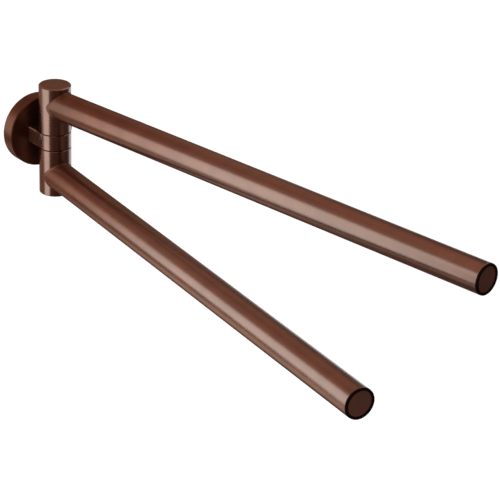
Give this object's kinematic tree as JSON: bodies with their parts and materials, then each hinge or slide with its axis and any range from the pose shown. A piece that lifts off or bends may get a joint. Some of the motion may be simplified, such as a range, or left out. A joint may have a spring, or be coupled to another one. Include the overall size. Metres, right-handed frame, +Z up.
{
  "type": "towel rail",
  "caption": "Wall-mounted towel rail: round arms that swivel about one upright post, held by a flat bar on a round rosette.",
  "frame": {"origin": "centre of the rosette's back, on the wall's surface", "axes": "+Y points into the wall, so the arms reach out along -Y; +X is to the right of someone who faces the wall; +Z is up"},
  "size_m": [0.1138, 0.3959, 0.0782],
  "materials": {
    "bronze_brushed": "stainless tube, brushed along its length, dark bronze coating",
    "bronze_post": "turned post, fine brushing, dark bronze coating",
    "bronze_turned": "turned and milled faces, satin dark bronze coating",
    "plate_metal": "zinc plated steel, dull",
    "plain_steel": "plain stainless fastener",
    "dark_steel": "blackened hardened steel",
    "raw_brass": "turned brass, brazed",
    "black_nylon": "black nylon",
    "white_nylon": "natural nylon"
  },
  "bodies": {
    "wall_bracket": {"wall_plate": "plate_metal", "rosette_cover": "bronze_turned", "rosette_grub_screw": "dark_steel", "bracket_arm": "bronze_turned", "bracket_screw": "plain_steel", "bracket_locating_pin": "plain_steel", "pivot_shaft": "plain_steel", "upper_friction_washer": "black_nylon", "upper_thrust_washer": "plain_steel", "upper_spring_washer": "plain_steel", "upper_lock_nut": "plain_steel", "lower_friction_washer": "black_nylon", "lower_thrust_washer": "plain_steel", "lower_spring_washer": "plain_steel", "lower_lock_nut": "plain_steel"},
    "upper_arm": {"upper_hub": "bronze_post", "upper_hub_cap": "bronze_turned", "upper_journal_bush": "white_nylon", "upper_thrust_bush": "white_nylon", "upper_arm_spigot": "raw_brass", "upper_arm_tube": "bronze_brushed", "upper_arm_end_plug": "black_nylon", "upper_arm_end_disc": "bronze_turned"},
    "lower_arm": {"lower_hub": "bronze_post", "lower_hub_cap": "bronze_turned", "lower_journal_bush": "white_nylon", "lower_thrust_bush": "white_nylon", "lower_arm_spigot": "raw_brass", "lower_arm_tube": "bronze_brushed", "lower_arm_end_plug": "black_nylon", "lower_arm_end_disc": "bronze_turned"}
  },
  "joints": [
    {"name": "upper_arm_swivel", "type": "hinge", "parent": "wall_bracket", "child": "upper_arm", "pos_m": [0, -0.026, 0.0254], "axis": [0, 0, 1], "range_deg": [-98.4, 81.6]},
    {"name": "lower_arm_swivel", "type": "hinge", "parent": "wall_bracket", "child": "lower_arm", "pos_m": [0, -0.026, -0.0254], "axis": [0, 0, 1], "range_deg": [-83.8, 96.2]}
  ]
}
